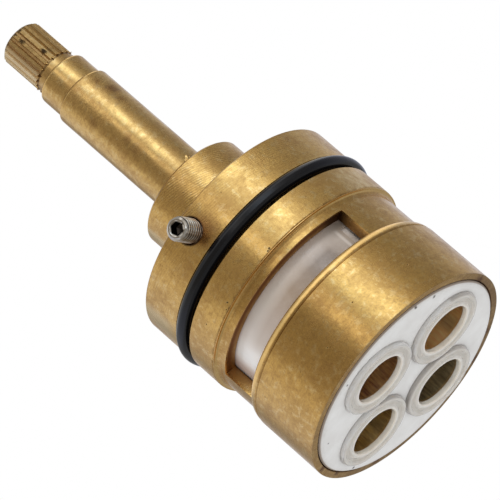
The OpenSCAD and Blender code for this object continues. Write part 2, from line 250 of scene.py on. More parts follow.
class Point:
    """The shaded point: x, y, z and radius in millimetres, and its turn about the axis, in
    radians and in degrees."""

    def __init__(self, g, place):
        split = g.add("ShaderNodeSeparateXYZ")
        g.link(place, split.inputs[0])
        self.g = g
        self.place = place
        self.x, self.y, self.z = split.outputs
        self.radius = g.length(self.x, self.y)
        self.turn = g.math("ARCTAN2", self.y, self.x)
        self.degrees = g.times(self.turn, 180.0 / math.pi)

    def from_port(self):
        """Distance in millimetres from the axis of the nearest port."""
        g = self.g
        ax, ay = g.math("ABSOLUTE", self.x), g.math("ABSOLUTE", self.y)
        across = g.math("SUBTRACT", g.math("MAXIMUM", ax, ay), PORT_CIRCLE_R)
        return g.length(across, g.math("MINIMUM", ax, ay))


class Look:
    """The colour, roughness and normal of a surface while marks are laid on it."""

    def __init__(self, g, colour, rough=None):
        self.g = g
        self.colour = colour
        self.rough = rough
        self.normal = None

    def paint(self, mask, amount, tint):
        """Lays a tint over the colour where the mask is."""
        self.colour = self.g.mix(self.g.times(mask, amount), self.colour, tint)

    def stain(self, mask, amount, tint, dull_to):
        """Lays a tint over the colour where the mask is, and sets the roughness there."""
        g = self.g
        self.paint(mask, amount, tint)
        kept = g.math("SUBTRACT", 1.0, g.times(mask, amount))
        self.rough = g.math("ADD", g.times(mask, amount, dull_to), g.times(self.rough, kept))

    def bump(self, height, distance, strength=1.0):
        self.normal = self.g.bump(height, distance, strength, self.normal)

    def dents(self, at, marks, radius, core, ragged, tint, dull_to, depth):
        """Small dark dents in a turned face, from direction, height, size and amount. The
        core is the part of the size that is dark throughout."""
        for turn, z, size, amount in marks:
            dent = self.g.spot(at.place, on_round(turn, radius, z), size * core, size,
                               at.grain, ragged)
            self.stain(dent, amount, tint, dull_to)
            self.bump(dent, depth, -1.0)


def on_round(turn, radius, z):
    """A point on a turned face, from its direction in degrees, radius and height."""
    a = math.radians(turn)
    return (radius * math.cos(a), radius * math.sin(a), z)


# Materials

GOLD = (0.88, 0.575, 0.205)
CAGE_GOLD = (0.83, 0.510, 0.156)
BONNET_GOLD = (0.92, 0.585, 0.188)
PALE_GOLD = (0.98, 0.72, 0.34)
DULL = (0.50, 0.285, 0.095)
DARK_BROWN = (0.085, 0.045, 0.022)


def brass(name, shift, marks=None, gold=GOLD, lines=0.35, line_pitch=3.2, blotch=0.16,
          haze=0.0):
    """Turned brass: streaks round the axis, patchy tarnish, small pits and a fine grain.
    The shift moves the pattern, lines is the depth of the streaks and line_pitch how close
    they are, blotch is the scale of the tarnish, and haze is added to the roughness. The
    marks are a function that adds what this piece alone has. They share three of the noises
    here through the point."""
    g = material_graph(name)
    at = Point(g, g.place())
    shifted = g.place(shift)
    round_way = g.join(at.radius, g.times(at.turn, 0.35), at.z)
    cloud = g.noise(shifted, blotch, detail=5.0, roughness=0.62)
    at.patch = g.noise(shifted, 0.80, detail=6.0, roughness=0.70, distortion=0.35)
    at.fine = g.noise(shifted, 1.5, detail=4.0, roughness=0.6)
    at.grain = g.noise(shifted, 4.2, detail=3.0, roughness=0.6)
    streak = g.noise(round_way, line_pitch, detail=2.0, roughness=0.6)
    reddish = g.noise(shifted, 0.33, detail=4.0, roughness=0.65)
    cells = g.add("ShaderNodeTexVoronoi", feature="F1")
    g.link(shifted, cells.inputs["Vector"])
    cells.inputs["Scale"].default_value = 0.26
    pit = g.fall(cells.outputs["Distance"], 0.018, 0.045)
    tarnish = g.remap(g.math("ADD", cloud, g.times(at.patch, 0.35)), 0.58, 0.80)

    uneven = g.math("ADD", g.times(at.patch, 0.6), g.times(tarnish, 0.4))
    look = Look(g, gold, g.remap(uneven, 0.25, 0.80, 0.15 + haze, 0.31 + haze))
    look.paint(tarnish, 0.5, DULL)
    look.paint(g.remap(at.patch, 0.53, 0.68), 0.5, DULL)
    look.paint(g.remap(at.patch, 0.47, 0.36), 0.58, PALE_GOLD)
    look.paint(g.remap(at.fine, 0.50, 0.64), 0.36, DULL)
    look.paint(g.remap(streak, 0.52, 0.72), 0.30, DULL)
    look.paint(g.remap(reddish, 0.58, 0.76), 0.35, (0.42, 0.215, 0.085))
    look.paint(g.remap(at.grain, 0.55, 0.66), 0.24, (0.34, 0.175, 0.06))
    look.paint(pit, 0.6, DARK_BROWN)
    look.bump(at.patch, 0.012)
    look.bump(at.fine, 0.015)
    look.bump(at.grain, 0.0022)
    look.bump(streak, 0.005, lines)
    look.bump(pit, 0.03, -1.0)
    if marks:
        marks(g, look, at)
    return g.surface(Base_Color=look.colour, Metallic=1.0, Roughness=look.rough,
                     Normal=look.normal)


# Directions in degrees: where the shade under the collar is darkest, and from where on the
# rim is darker
COLLAR_DARK = -67.0
DARKER_RIM_FROM = -5.0
# Grime on the skirt's rim: direction in degrees, radius and size in millimetres
RIM_GRIME = ((-161.0, 19.2, 0.75), (-178.0, 19.0, 0.55), (7.0, 18.7, 1.1),
             (60.0, 18.9, 0.9), (78.0, 19.0, 1.2), (150.0, 18.9, 0.7))
# Dents: direction in degrees, height and size in millimetres, and amount
SKIRT_DENTS = ((-64.1, 6.49, 0.10, 0.85), (-86.2, 4.81, 0.08, 0.85),
               (-112.5, 12.9, 0.12, 0.85), (-25.0, 8.8, 0.09, 0.85),
               (95.0, 7.1, 0.10, 0.85), (170.0, 3.9, 0.12, 0.85))


def bore_marks(g, look, at):
    """The bores, with painted reflection and shade in two streaky browns that differ from port
    to port, and a paler lip at their mouths.
    """
    bore = g.times(g.fall(at.from_port(), SPIGOT_R + 0.1, SPIGOT_R + 0.3),
                  g.fall(at.z, FLOOR_TOP + 0.2, FLOOR_TOP + 0.5))
    drawn = g.noise(g.join(g.times(at.x, 2.2), g.times(at.y, 2.2), g.times(at.z, 0.35)), 0.9)
    streaky = g.remap(drawn, 0.28, 0.72)
    # Painted reflection and shade inside the bores, in streaky browns, each port its own
    shade = g.mix(streaky, (1.0, 0.84, 0.50), (0.92, 0.60, 0.31))
    for mask, light, dark in (
            (g.fall(at.y, -APART_TO, -APART_FROM), (1.0, 0.74, 0.38), (0.44, 0.235, 0.150)),
            (g.fall(at.x, -APART_TO, -APART_FROM), (1.0, 0.80, 0.40), (0.48, 0.34, 0.165)),
            (g.remap(at.y, APART_FROM, APART_TO), (0.74, 0.64, 0.43), (0.36, 0.29, 0.185))):
        shade = g.mix(mask, shade, g.mix(streaky, light, dark))
    look.paint(bore, 1.0, shade)
    look.rough = g.math("ADD", look.rough, g.times(bore, 0.16))
    mouth = g.times(bore, g.fall(at.z, PLATE_BOT + 0.15, PLATE_BOT + 0.55))
    look.paint(mouth, 0.8, (0.92, 0.66, 0.34))


def window_marks(g, look, at):
    """A red-brown shade on the windows' ends and roof, darkest in the front one's corner."""
    inside = g.times(g.fall(at.radius, CAGE_R - 0.45, CAGE_R - 0.05),
                     g.band(at.z, SKIRT_TOP - 0.4, WINDOW_TOP + 0.5, 0.3))
    roof = g.remap(at.z, WINDOW_TOP - 0.25, WINDOW_TOP - 0.02)
    ends = g.times(inside, g.math("SUBTRACT", 1.0, roof),
                   g.remap(at.radius, CAGE_BORE_R + 0.1, CAGE_BORE_R + 1.7, 0.80, 0.34))
    look.stain(ends, 1.0, (0.24, 0.115, 0.045), 0.40)
    above = g.times(inside, roof,
                    g.remap(at.radius, CAGE_BORE_R + 0.2, CAGE_BORE_R + 1.1, 0.62, 0.97))
    look.stain(above, 1.0, (0.20, 0.072, 0.016), 0.62)
    corner = g.times(inside, g.remap(at.degrees, -46.0, -38.5),
                     g.remap(at.z, WINDOW_TOP - 1.7, WINDOW_TOP - 0.3))
    look.stain(corner, 0.90, (0.060, 0.024, 0.008), 0.60)


def cage_marks(g, look, at):
    """Painted reflection and shade in the bores and windows, a shade under the collar, painted
    shade in the nick below the lip, a painted highlight on the lip, and a soiled rim, darker on
    one half, with painted shadow in the gap at its inner edge.
    """
    bore_marks(g, look, at)
    window_marks(g, look, at)

    from_dark = g.math("ABSOLUTE", g.math("SUBTRACT", at.degrees, COLLAR_DARK))
    heavy = g.times(g.remap(from_dark, 8.0, 22.0, 0.66, 0.16),
                    g.remap(at.patch, 0.3, 0.6, 0.7, 1.0))
    hollow = g.times(g.band(at.z, WINDOW_TOP + 0.75, BONNET_BOT + 0.2, 0.25),
                     g.remap(at.radius, CAGE_R - 0.15, CAGE_R - 0.05), heavy)
    look.stain(hollow, 1.0, (0.33, 0.17, 0.052), 0.34)
    # Painted shade in the nick below the lip
    shade_under_lip = g.times(g.band(at.z, LIP_FOOT - 0.48, LIP_FOOT - 0.12, 0.12),
                        g.remap(at.radius, BODY_R - 0.3, BODY_R - 0.2))
    look.stain(shade_under_lip, 0.70, (0.28, 0.140, 0.040), 0.30)
    # Painted highlight: paler, smoother gold along the lip
    lip = g.times(g.remap(at.z, LIP_FOOT - 0.01, LIP_FOOT + 0.19),
                  g.remap(at.radius, BODY_R - 0.65, BODY_R - 0.55))
    look.stain(lip, 0.60, (1.0, 0.68, 0.27), 0.20)

    outer = g.remap(at.radius, RECESS_R - 0.5, RECESS_R - 0.2)
    rim = g.times(g.fall(at.z, 0.10, 0.25), outer)
    soiled = g.remap(at.patch, 0.30, 0.62, 0.60, 1.0)
    far = g.remap(g.math("SINE", g.math("SUBTRACT", at.turn, math.radians(DARKER_RIM_FROM))),
                  -0.25, 0.25, 0.30, 1.0)
    look.stain(g.times(rim, soiled, far), 0.80, (0.27, 0.170, 0.092), 0.40)
    # Painted shadow in the gap between the rim and the plate
    rim_gap_shadow = g.times(g.fall(at.radius, RECESS_R + 0.02, RECESS_R + 0.25),
                   g.fall(at.z, 0.3, 0.5), outer)
    look.stain(rim_gap_shadow, 0.85, (0.14, 0.075, 0.035), 0.5)
    for turn, radius, size in RIM_GRIME:
        grime = g.spot(at.place, on_round(turn, radius, 0.0), size * 0.4, size, at.fine, 2.2)
        look.stain(grime, 0.75, (0.13, 0.052, 0.035), 0.5)
    look.dents(at, SKIRT_DENTS, BODY_R, core=0.5, ragged=0.4, tint=DARK_BROWN, dull_to=0.5,
               depth=0.08)


# Direction in degrees, height and size in millimetres, and amount, here and below
BONNET_DENTS = ((-70.2, 22.72, 0.16, 0.9), (-71.3, 22.6, 0.12, 0.9), (-101.2, 23.15, 0.13, 0.9),
                (-104.5, 22.7, 0.10, 0.9), (-118.0, 24.9, 0.07, 0.9), (100.0, 25.0, 0.14, 0.9))
# The slanting turning marks: how many go round, and how many to a millimetre upwards, which
# is the cosine of their slant over their pitch
MARKS_ROUND = 49.0
MARKS_UP = 0.952 / 0.394


def bonnet_marks(g, look, at):
    """Slanting turning marks on the boss and head, painted shade in the groove and round the stop
    screw's hole, tarnish by the stop screw, dark edges with painted shadow along the boss's upper
    edge and round the stem, a torn patch on the head's side, and painted highlights at two
    places."""
    waves = g.math("ADD", g.times(at.turn, MARKS_ROUND / FULL_TURN), g.times(at.z, MARKS_UP))
    ripple = g.math("SINE", g.times(g.math("ADD", waves, g.times(at.fine, 0.9)), FULL_TURN))
    on_boss = g.times(g.remap(at.z, HEAD_TOP + 0.1, HEAD_TOP + 0.4),
                      g.remap(at.radius, BOSS_R - 0.4, BOSS_R - 0.2),
                      g.remap(at.patch, 0.30, 0.62, 1.0, 0.35),
                      g.remap(at.degrees, -104.0, -74.0, 0.30, 1.0))
    side = g.remap(at.radius, BODY_R - 0.4, BODY_R - 0.2)
    on_head = g.times(g.remap(at.z, GROOVE_TOP + 0.8, GROOVE_TOP + 2.8), side, 0.28)
    ridged = g.math("ADD", on_boss, on_head)
    look.bump(g.times(ridged, ripple), 0.0075)
    look.paint(g.times(ridged, g.remap(ripple, 0.1, -1.0, 0.0, 0.70)), 1.0, (0.46, 0.26, 0.09))

    # Painted shade in the O-ring's groove
    groove = g.times(g.fall(at.radius, BODY_R - 0.20, BODY_R - 0.05),
                     g.band(at.z, GROOVE_BOT - 0.2, GROOVE_TOP + 0.2, 0.1))
    look.stain(groove, 0.85, (0.07, 0.04, 0.022), 0.5)

    hole_at = (BODY_R * SCREW_OUT.x, BODY_R * SCREW_OUT.y, SCREW_Z)
    # Painted shade in the gap round the stop screw
    hole = g.fall(g.vector("DISTANCE", at.place, hole_at), SCREW_R + 0.34, SCREW_R + 0.50)
    look.stain(hole, 0.8, DARK_BROWN, 0.5)
    rust = g.spot(at.place, on_round(-83.0, BODY_R, SCREW_Z - 1.8), 0.9, 2.4, at.patch, 3.0)
    look.stain(rust, 0.55, (0.40, 0.165, 0.065), 0.3)
    look.dents(at, BONNET_DENTS, BODY_R, core=0.45, ragged=0.5, tint=DARK_BROWN, dull_to=0.5,
               depth=0.10)

    seam = g.times(g.band(at.z, BONNET_BOT - 0.1, BONNET_BOT + 0.22, 0.12),
                   g.remap(at.patch, 0.40, 0.60))
    look.stain(seam, 0.45, (0.20, 0.11, 0.045), 0.40)
    head_edge = g.times(g.band(at.z, HEAD_TOP - 0.25, HEAD_TOP + 0.2, 0.12), side)
    look.stain(head_edge, 0.45, (0.36, 0.20, 0.08), 0.35)
    # Painted shadow of the gap between the stem and the boss, along the boss's upper edge
    boss_edge_shadow = g.times(g.remap(at.z, BOSS_TOP - 0.35, BOSS_TOP - 0.15),
                        g.remap(at.patch, 0.36, 0.56, 0.5, 1.0))
    look.stain(boss_edge_shadow, 0.62, (0.24, 0.125, 0.050), 0.35)

    chatter = g.noise(g.join(g.times(at.degrees, 1.1), at.radius, g.times(at.z, 0.9)), 1.0,
                      detail=4.0, roughness=0.7)
    torn = g.times(g.band(at.degrees, -48.0, -16.0, 14.0),
                   g.band(at.z, GROOVE_TOP + 1.8, HEAD_TOP - 0.2, 1.6), side)
    look.bump(g.times(chatter, torn), 0.040)

    # Painted highlight: the head's right end made paler gold
    highlight_right = g.times(g.band(at.degrees, -19.0, 2.0, 8.0),
                         g.remap(at.z, GROOVE_BOT + 0.9, GROOVE_BOT - 2.1),
                         g.remap(at.patch, 0.58, 0.40, 0.4, 1.0))
    look.paint(highlight_right, 0.8, (1.0, 0.76, 0.38))
    # Painted highlight: the head's left end made paler gold
    highlight_left = g.times(g.band(at.degrees, -150.0, -137.0, 6.0),
                        g.remap(at.z, GROOVE_TOP - 0.2, GROOVE_TOP + 2.3))
    look.paint(highlight_left, 0.7, (1.0, 0.80, 0.46))
    # Painted shadow on the boss round the stem
    boss_top_shadow = g.times(g.remap(at.z, BOSS_TOP - 0.4, BOSS_TOP - 0.1),
                       g.remap(at.radius, BOSS_R - 0.2, BOSS_R - 0.4))
    look.stain(boss_top_shadow, 0.55, (0.20, 0.11, 0.05), 0.4)


SPLINE_PITS = ((-70.3, 87.2, 0.40, 0.855), (-52.6, 83.2, 0.46, 0.95), (-54.3, 89.0, 0.24, 0.855),
               (-68.0, 89.0, 0.26, 0.855), (-46.0, 86.0, 0.12, 0.665), (-30.0, 82.6, 0.16, 0.665),
               (160.0, 85.0, 0.30, 0.855), (60.0, 86.5, 0.26, 0.76))
STEM_TARNISH = ((-24.0, 69.6, 1.5, 0.75), (-34.0, 72.2, 0.9, 0.55), (-28.0, 66.9, 1.0, 0.6),
                (-99.0, 67.4, 1.1, 0.5), (-79.0, 60.7, 1.0, 0.6), (-82.0, 58.2, 1.2, 0.4),
                (120.0, 66.0, 1.6, 0.6), (80.0, 56.0, 1.3, 0.5))


def spindle_marks(g, look, at):
    """A browner spline with pits and painted light in its roots, paler and rougher on one side,
    and worn, tarnished spots on the stem, with painted shadow where it meets the boss and painted
    shade along its steps.
    """
    spline = g.remap(at.z, RELIEF_TOP - 0.1, RELIEF_TOP + 0.1)
    brown = g.remap(at.patch, 0.30, 0.66, 0.60, 0.95)
    look.stain(g.times(spline, brown), 0.95, (0.41, 0.270, 0.110), 0.66)
    # Painted light in the spline's roots, offsetting their shade
    root = g.times(spline, g.fall(at.radius, SPLINE_R - 0.4, SPLINE_R - 0.1))
    look.stain(root, 0.45, (0.64, 0.42, 0.20), 0.66)
    # Paler and rougher on one side of the spline
    paler_side = g.times(spline, g.band(at.degrees, -165.0, -108.0, 24.0))
    look.stain(paler_side, 0.90, (0.86, 0.70, 0.45), 0.60)
    # Painted light in the roots on one side, so the teeth show faintly there
    faint = g.times(spline, g.band(at.degrees, -56.0, 20.0, 14.0),
                    g.remap(at.radius, SPLINE_R - 0.1, SPLINE_R - 0.3))
    look.paint(faint, 0.7, (0.66, 0.50, 0.25))
    tip = g.remap(at.z, SPLINE_TOP - 0.55, SPLINE_TOP - 0.3)
    look.stain(tip, 0.6, (0.16, 0.09, 0.045), 0.42)
    look.dents(at, SPLINE_PITS, SPLINE_R - 0.1, core=0.6, ragged=0.7,
               tint=(0.035, 0.02, 0.012), dull_to=0.6, depth=0.15)

    for turn, z, size, amount in STEM_TARNISH:
        worn = g.spot(at.place, on_round(turn, STEM_R, z), size * 0.2, size, at.patch, 3.4)
        look.stain(worn, amount, (0.26, 0.115, 0.045), 0.32)
    scratch = g.noise(g.join(at.x, at.y, g.times(at.z, 3.0)), 1.3, detail=4.0, roughness=0.7)
    look.bump(g.times(scratch, g.band(at.z, STEM_TOP - 9.9, STEM_TOP - 0.4, 2.0)), 0.022)
    # Painted shadow at the stem's foot, where it meets the boss
    foot_shadow = g.times(g.fall(at.z, BOSS_TOP - 0.1, BOSS_TOP + 0.5),
                   g.remap(at.radius, STEM_R - 0.25, STEM_R - 0.15))
    look.stain(foot_shadow, 0.7, (0.12, 0.06, 0.03), 0.45)
    relief = g.band(at.z, NECK_TOP + 0.05, RELIEF_TOP - 0.05, 0.1)
    look.stain(relief, 0.40, (0.42, 0.25, 0.10), 0.36)
    # Painted shade along the steps of the stem, neck and relief
    for z in (STEM_TOP, NECK_TOP, RELIEF_TOP - 0.2):
        step_shade = g.times(g.band(at.z, z - 0.23, z + 0.15, 0.1),
                       g.remap(at.fine, 0.3, 0.6, 0.6, 1.0))
        look.stain(step_shade, 0.80, (0.15, 0.08, 0.035), 0.4)


def washer_plastic(name):
    """Moulded plastic with a faint mottle, a fine moulded grain and some grime."""
    g = material_graph(name)
    place = g.place()
    mottle = g.noise(place, 0.25, detail=4.0)
    dirt = g.remap(g.noise(place, 0.9, detail=5.0, roughness=0.7), 0.62, 0.80)
    look = Look(g, g.mix(mottle, (0.80, 0.78, 0.72), (0.744, 0.7254, 0.6696)))
    look.paint(dirt, 0.25, (0.42, 0.37, 0.30))
    look.bump(g.noise(place, 3.0, detail=2.0), 0.004)
    return g.surface(Base_Color=look.colour, Roughness=0.35, Normal=look.normal)


# Dark specks on the plate: direction in degrees, radius and size in millimetres
PLATE_SPECKS = ((-31.3, 18.0, 0.26), (-44.0, 18.24, 0.26), (-96.0, 17.6, 0.18),
                (171.3, 17.8, 0.22), (-140.0, 16.9, 0.13), (95.0, 17.5, 0.18))


def seal_plate_plastic(name):
    """White plastic with a warm, soiled edge, painted shade along its chamfer and round each
    seal, and a few dark specks on its face.
    """
    g = material_graph(name)
    at = Point(g, g.place())
    cloud = g.noise(at.place, 0.22, detail=4.0, roughness=0.6)
    fine = g.noise(at.place, 1.3, detail=4.0, roughness=0.65)
    look = Look(g, g.mix(g.remap(cloud, 0.35, 0.65), (0.88, 0.88, 0.87), (0.80, 0.79, 0.775)))
    edge = g.times(g.remap(at.radius, PLATE_R - 1.0, PLATE_R),
                   g.remap(fine, 0.30, 0.62, 0.3, 1.0))
    look.paint(edge, 0.40, (0.52, 0.49, 0.45))
    look.paint(g.remap(fine, 0.64, 0.80), 0.30, (0.50, 0.45, 0.38))
    # Painted shade along the plate's chamfer
    chamfer = g.remap(at.radius, PLATE_R - 0.28, PLATE_R - 0.14)
    look.paint(chamfer, 0.85, (0.22, 0.145, 0.085))
    # Painted shade in the gap round each seal
    seal_gap_shade = g.times(g.remap(at.from_port(), SEAL_R + 0.25, SEAL_R + 0.07),
                         g.remap(fine, 0.34, 0.56, 0.45, 1.0))
    look.paint(seal_gap_shade, 0.60, (0.33, 0.30, 0.27))
    for turn, radius, size in PLATE_SPECKS:
        speck = g.spot(at.place, on_round(turn, radius, PLATE_BOT), size * 0.55, size,
                       fine, 0.5)
        look.paint(speck, 0.95, (0.05, 0.035, 0.03))
    look.bump(g.noise(at.place, 2.4), 0.006)
    return g.surface(Base_Color=look.colour, Roughness=0.36, Normal=look.normal)


# Directions in degrees along the drum's front, and its colours there, which paint its light and
# shade: where the wall is solid, and where the pocket lies behind it
DRUM_FROM = -150.0
DRUM_TO = -20.0
POCKET_FROM = -117.0
POCKET_TO = -44.5
# Painted light and shade: a bright glow near the left end, darker towards the right end
DRUM_SOLID_SHADING = (
    (-150.0, (0.55, 0.42, 0.36)), (-138.0, (0.66, 0.54, 0.48)), (-132.0, (0.95, 0.90, 0.86)),
    (-128.0, (1.0, 0.98, 0.95)), (-123.0, (1.0, 0.96, 0.92)), (-116.0, (0.84, 0.775, 0.72)),
    (-107.0, (0.70, 0.635, 0.58)), (-92.0, (0.63, 0.56, 0.49)), (-70.0, (0.57, 0.49, 0.42)),
    (-50.0, (0.50, 0.43, 0.375)), (-42.0, (0.38, 0.325, 0.28)), (-36.0, (0.27, 0.225, 0.185)),
    (-20.0, (0.24, 0.20, 0.165)))
DRUM_CLEAR_SHADING = (
    (-150.0, (0.70, 0.63, 0.57)), (-112.0, (0.62, 0.54, 0.48)), (-100.0, (0.50, 0.42, 0.365)),
    (-79.0, (0.335, 0.255, 0.190)), (-58.0, (0.225, 0.180, 0.145)),
    (-45.0, (0.21, 0.170, 0.140)), (-20.0, (0.30, 0.25, 0.22)))


def rotor_plastic(name):
    """Milky plastic with painted light and shade: a bright glow near the left end, darker towards
    the right, clearer and greyer over the pocket behind the wall, painted light on the relief's
    walls and floor, a painted highlight and shade along a rib, and a painted red-brown reflection
    and shade of the brass along its upper edge."""
    g = material_graph(name)
    at = Point(g, g.place())
    along = g.remap(at.degrees, DRUM_FROM, DRUM_TO)

    def by_direction(colours):
        return g.ramp(along, [((turn - DRUM_FROM) / (DRUM_TO - DRUM_FROM), colour)
                              for turn, colour in colours])

    pocket = g.times(g.band(at.degrees, POCKET_FROM, POCKET_TO, 9.0),
                     g.fall(at.z, POCKET_TOP - 1.2, POCKET_TOP + 0.6))
    look = Look(g, g.mix(pocket, by_direction(DRUM_SOLID_SHADING), by_direction(DRUM_CLEAR_SHADING)))
    cloud = g.noise(at.place, 0.5, detail=4.0, roughness=0.6)
    look.paint(g.remap(cloud, 0.45, 0.75, 0.0, 0.12), 1.0, (0.72, 0.64, 0.58))
    # Painted light on the relief's walls, offsetting their shade
    relief_step_light = g.band(at.radius, RELIEF_R + 0.05, ROTOR_R - 0.04, 0.06)
    look.paint(relief_step_light, 0.8, (0.60, 0.54, 0.49))
    # Painted light on the relief's floor, more towards its upper side, offsetting its shade
    relief_floor_light = g.times(g.remap(at.radius, RELIEF_R + 0.08, RELIEF_R + 0.04),
                   g.remap(at.z, POCKET_TOP - 1.5, POCKET_TOP + 0.5, 0.25, 0.95))
    look.paint(relief_floor_light, 1.0, (0.64, 0.58, 0.53))
    # Painted highlight along the rib's edge
    rib_highlight = g.times(g.band(at.degrees, -39.0, -37.2, 1.0),
                        g.band(at.z, SKIRT_TOP + 1.0, POCKET_TOP + 0.8, 0.8))
    look.paint(rib_highlight, 0.34, (0.74, 0.68, 0.62))
    # Painted shade beside the rib
    rib_shade = g.times(g.band(at.degrees, -37.0, -35.6, 0.8),
                       g.band(at.z, SKIRT_TOP + 0.5, POCKET_TOP + 0.5, 0.8))
    look.paint(rib_shade, 0.35, (0.30, 0.25, 0.21))
    # Painted red-brown reflection and shade of the brass at the drum's upper edge
    brass_reflection_and_shade = g.remap(at.z, DRUM_TOP - 1.0, DRUM_TOP - 0.3)
    look.paint(brass_reflection_and_shade, 0.40, (0.46, 0.28, 0.20))
    look.bump(g.noise(at.place, 1.1), 0.012)
    return g.surface(Base_Color=look.colour, Roughness=0.22, Normal=look.normal,
                     Coat_Weight=0.25, Coat_Roughness=0.10, Subsurface_Weight=0.12,
                     Subsurface_Scale=0.8 * MM, Subsurface_Radius=(1.0, 0.9, 0.8))


def rubber(name):
    """Black rubber: satin, with faint dust and a soft grain."""
    g = material_graph(name)
    place = g.place()
    dust = g.remap(g.noise(place, 2.2, detail=5.0, roughness=0.7), 0.62, 0.82)
    colour = g.mix(g.times(dust, 0.30), (0.0045, 0.0045, 0.0055), (0.035, 0.032, 0.030))
    rough = g.remap(g.noise(place, 1.1), 0.3, 0.7, 0.12, 0.22)
    normal = g.bump(g.noise(place, 4.0, detail=2.0), 0.005)
    return g.surface(Base_Color=colour, Roughness=rough, Normal=normal,
                     Specular_IOR_Level=0.36)


# Colours of a seal from its bore to its edge, between two distances from the port's axis
SEAL_FROM = 4.3
SEAL_TO = 7.1
# Painted light on the bore's wall at the start, and painted shade on the outer wall at the end
SEAL_COLOURS = (
    (0.0, (1.0, 0.96, 0.90)), (0.075, (1.0, 0.92, 0.80)), (0.10, (0.80, 0.71, 0.60)),
    (0.14, (1.0, 0.94, 0.86)), (0.30, (1.0, 0.93, 0.84)), (0.50, (0.95, 0.88, 0.79)),
    (0.70, (0.98, 0.91, 0.82)), (0.80, (1.0, 0.94, 0.86)), (0.88, (0.62, 0.58, 0.54)),
    (0.93, (0.52, 0.49, 0.46)), (1.0, (0.74, 0.72, 0.70)))


def silicone(name):
    """Milky silicone: pale, with painted light on the bore's wall, painted shade greying the
    outer edge, less on the front seal, painted amber light of the brass deep in the bore, and
    partly see-through on its face."""
    g = material_graph(name)
    at = Point(g, g.place())
    out = at.from_port()
    look = Look(g, g.ramp(g.remap(out, SEAL_FROM, SEAL_TO), SEAL_COLOURS))
    # Painted light: the front seal's outer wall is paler
    front_edge_light = g.times(g.fall(at.y, -APART_TO, -APART_FROM),
                         g.remap(out, SEAL_R - 0.35, SEAL_R - 0.15))
    look.paint(front_edge_light, 1.0, (0.88, 0.86, 0.83))
    # Painted amber light of the brass showing through, deep in the bore
    painted_brass_light = g.times(g.remap(out, PORT_BORE_R - 0.05, PORT_BORE_R - 0.15),
                    g.remap(at.z, PLATE_BOT - 0.24, PLATE_BOT - 0.04))
    look.paint(painted_brass_light, 0.5, (0.86, 0.64, 0.38))
    cloud = g.noise(at.place, 0.5, detail=4.0, roughness=0.6)
    look.paint(g.remap(cloud, 0.45, 0.75, 0.0, 0.45), 1.0, (0.70, 0.61, 0.51))
    look.bump(g.noise(at.place, 0.9), 0.02)
    clear = g.remap(out, PORT_BORE_R + 0.05, PORT_BORE_R + 0.6, 0.0, 0.28)
    return g.surface(Base_Color=look.colour, Roughness=0.13, IOR=1.41,
                     Transmission_Weight=clear, Normal=look.normal, Coat_Weight=0.60,
                     Coat_Roughness=0.04, Subsurface_Weight=0.45,
                     Subsurface_Scale=1.4 * MM, Subsurface_Radius=(1.0, 0.95, 0.9))


def steel(name):
    """Bright stainless steel with fine scratches, a brownish film in its threads, a painted warm
    reflection of the brass near the head, lighter near its outer end, and painted shade in the
    thread roots and the socket's mouth.
    """
    g = material_graph(name)
    place = g.place()
    out = g.vector("DOT_PRODUCT", place, tuple(SCREW_OUT))
    along = g.add("ShaderNodeVectorMath", operation="SCALE")
    along.inputs[0].default_value = tuple(SCREW_OUT)
    g.link(out, along.inputs["Scale"])
    on_axis = g.vector("ADD", along.outputs[0], (0.0, 0.0, SCREW_Z), "Vector")
    from_axis = g.vector("DISTANCE", place, on_axis)
    film = g.remap(g.noise(place, 1.2, detail=4.0, roughness=0.65), 0.45, 0.75)
    look = Look(g, g.mix(g.times(film, 0.7), (0.58, 0.505, 0.41), (0.22, 0.165, 0.12)))
    # Painted warm reflection of the brass on the screw near the head
    painted_brass_light = g.remap(out, SCREW_TO - 2.7, SCREW_TO - 3.9)
    look.paint(painted_brass_light, 0.70, (0.34, 0.20, 0.11))
    near = g.remap(out, SCREW_TO - 0.62, SCREW_TO - 0.40)
    look.paint(near, 0.8, (0.62, 0.575, 0.505))
    # Painted shade in the thread roots
    root = g.times(g.fall(from_axis, SCREW_R - 0.18, SCREW_R - 0.015),
                   g.remap(out, SCREW_TO - 0.4, SCREW_TO - 0.6))
    look.paint(root, 0.96, (0.032, 0.023, 0.018))
    # Painted shade in the socket's mouth
    socket = g.times(g.fall(from_axis, MOUTH_R - 0.14, MOUTH_R - 0.04),
                     g.remap(out, SCREW_TO - 0.02, SCREW_TO - MOUTH_DEPTH))
    look.paint(socket, 0.92, (0.040, 0.033, 0.028))
    look.bump(g.noise(place, 3.0, detail=4.0, roughness=0.7), 0.004)
    rough = g.remap(g.noise(place, 2.5), 0.3, 0.7, 0.12, 0.24)
    return g.surface(Base_Color=look.colour, Metallic=1.0, Roughness=rough,
                     Normal=look.normal)


def ceramic(name):
    """Lapped ceramic: off-white, smooth, with a faint speckle."""
    g = material_graph(name)
    speck = g.remap(g.noise(g.place(), 4.0, detail=2.0), 0.62, 0.72)
    colour = g.mix(g.times(speck, 0.3), (0.84, 0.82, 0.76), (0.62, 0.58, 0.50))
    return g.surface(Base_Color=colour, Roughness=0.16, Coat_Weight=0.3, Coat_Roughness=0.08)


brass_cage = brass("brass_cage", shift=11.0, marks=cage_marks, gold=CAGE_GOLD, lines=0.40)
brass_bonnet = brass("brass_bonnet", shift=3.0, marks=bonnet_marks, gold=BONNET_GOLD,
                     lines=0.55, haze=0.03)
brass_spindle = brass("brass_spindle", shift=27.0, marks=spindle_marks, lines=0.45,
                      line_pitch=4.0, blotch=0.22)
brass_chips = brass("brass_chips", shift=40.0)
bright_steel = steel("bright_steel")

